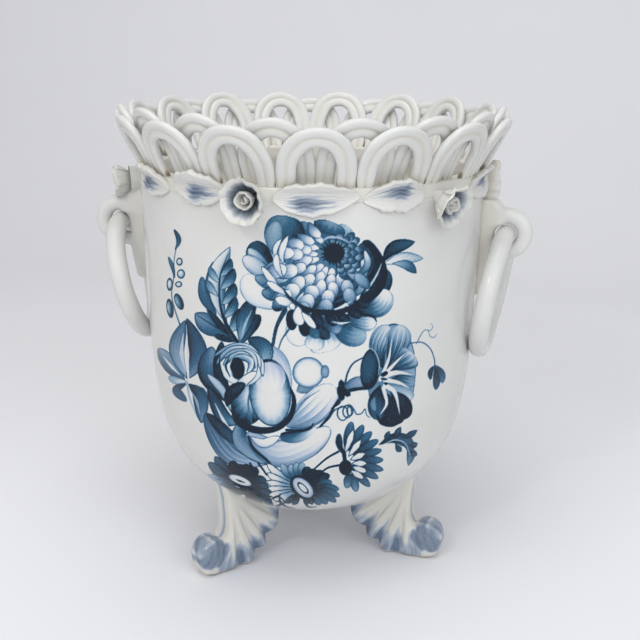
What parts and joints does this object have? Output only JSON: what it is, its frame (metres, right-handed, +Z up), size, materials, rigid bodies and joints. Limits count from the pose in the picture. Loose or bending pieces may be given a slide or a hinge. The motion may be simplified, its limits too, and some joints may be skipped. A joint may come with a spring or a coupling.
{
  "type": "footed cachepot with ring handles",
  "caption": "Round footed planter with a gallery rim of interlaced double-coil arches, a leaf and rose garland and two ring handles.",
  "frame": {"origin": "on the table, under the middle of the bounding box, on the pot's axis", "axes": "+Z up along the pot's axis; +X through the eye of the handle that is on the right when the painted side faces the viewer; -Y towards the painted side"},
  "size_m": [0.273, 0.2434, 0.2858],
  "materials": {
    "white_glaze": "glossy white tin glaze",
    "brushed_leaf_glaze": "white tin glaze with brushed grey-blue",
    "brushed_rose_glaze": "white tin glaze with brushed grey-blue",
    "brushed_foot_glaze": "white tin glaze with brushed slate blue"
  },
  "bodies": {
    "root": {"pot_body": "white_glaze", "inner_arch_01": "white_glaze", "inner_arch_02": "white_glaze", "inner_arch_03": "white_glaze", "inner_arch_04": "white_glaze", "inner_arch_05": "white_glaze", "inner_arch_06": "white_glaze", "inner_arch_07": "white_glaze", "inner_arch_08": "white_glaze", "inner_arch_09": "white_glaze", "inner_arch_10": "white_glaze", "inner_arch_11": "white_glaze", "inner_arch_12": "white_glaze", "inner_arch_13": "white_glaze", "inner_arch_14": "white_glaze", "inner_arch_15": "white_glaze", "inner_arch_16": "white_glaze", "outer_arch_01": "white_glaze", "outer_arch_02": "white_glaze", "outer_arch_03": "white_glaze", "outer_arch_04": "white_glaze", "outer_arch_05": "white_glaze", "outer_arch_06": "white_glaze", "outer_arch_07": "white_glaze", "outer_arch_08": "white_glaze", "outer_arch_09": "white_glaze", "outer_arch_10": "white_glaze", "outer_arch_11": "white_glaze", "outer_arch_12": "white_glaze", "outer_arch_13": "white_glaze", "outer_arch_14": "white_glaze", "outer_arch_15": "white_glaze", "outer_arch_16": "white_glaze", "handle_eye_right": "white_glaze", "handle_eye_left": "white_glaze", "handle_ring_right": "white_glaze", "handle_ring_left": "white_glaze", "garland_leaf_01": "brushed_leaf_glaze", "garland_leaf_02": "brushed_leaf_glaze", "garland_leaf_03": "brushed_leaf_glaze", "garland_leaf_04": "brushed_leaf_glaze", "garland_leaf_05": "brushed_leaf_glaze", "garland_leaf_06": "brushed_leaf_glaze", "garland_leaf_07": "brushed_leaf_glaze", "garland_leaf_08": "brushed_leaf_glaze", "garland_leaf_09": "brushed_leaf_glaze", "garland_leaf_10": "brushed_leaf_glaze", "garland_leaf_11": "brushed_leaf_glaze", "garland_rose_1": "brushed_rose_glaze", "garland_rose_2": "brushed_rose_glaze", "garland_rose_3": "brushed_rose_glaze", "garland_rose_4": "brushed_rose_glaze", "garland_rose_5": "brushed_rose_glaze", "foot_front_left": "brushed_foot_glaze", "foot_front_right": "brushed_foot_glaze", "foot_back": "brushed_foot_glaze"}
  },
  "joints": []
}
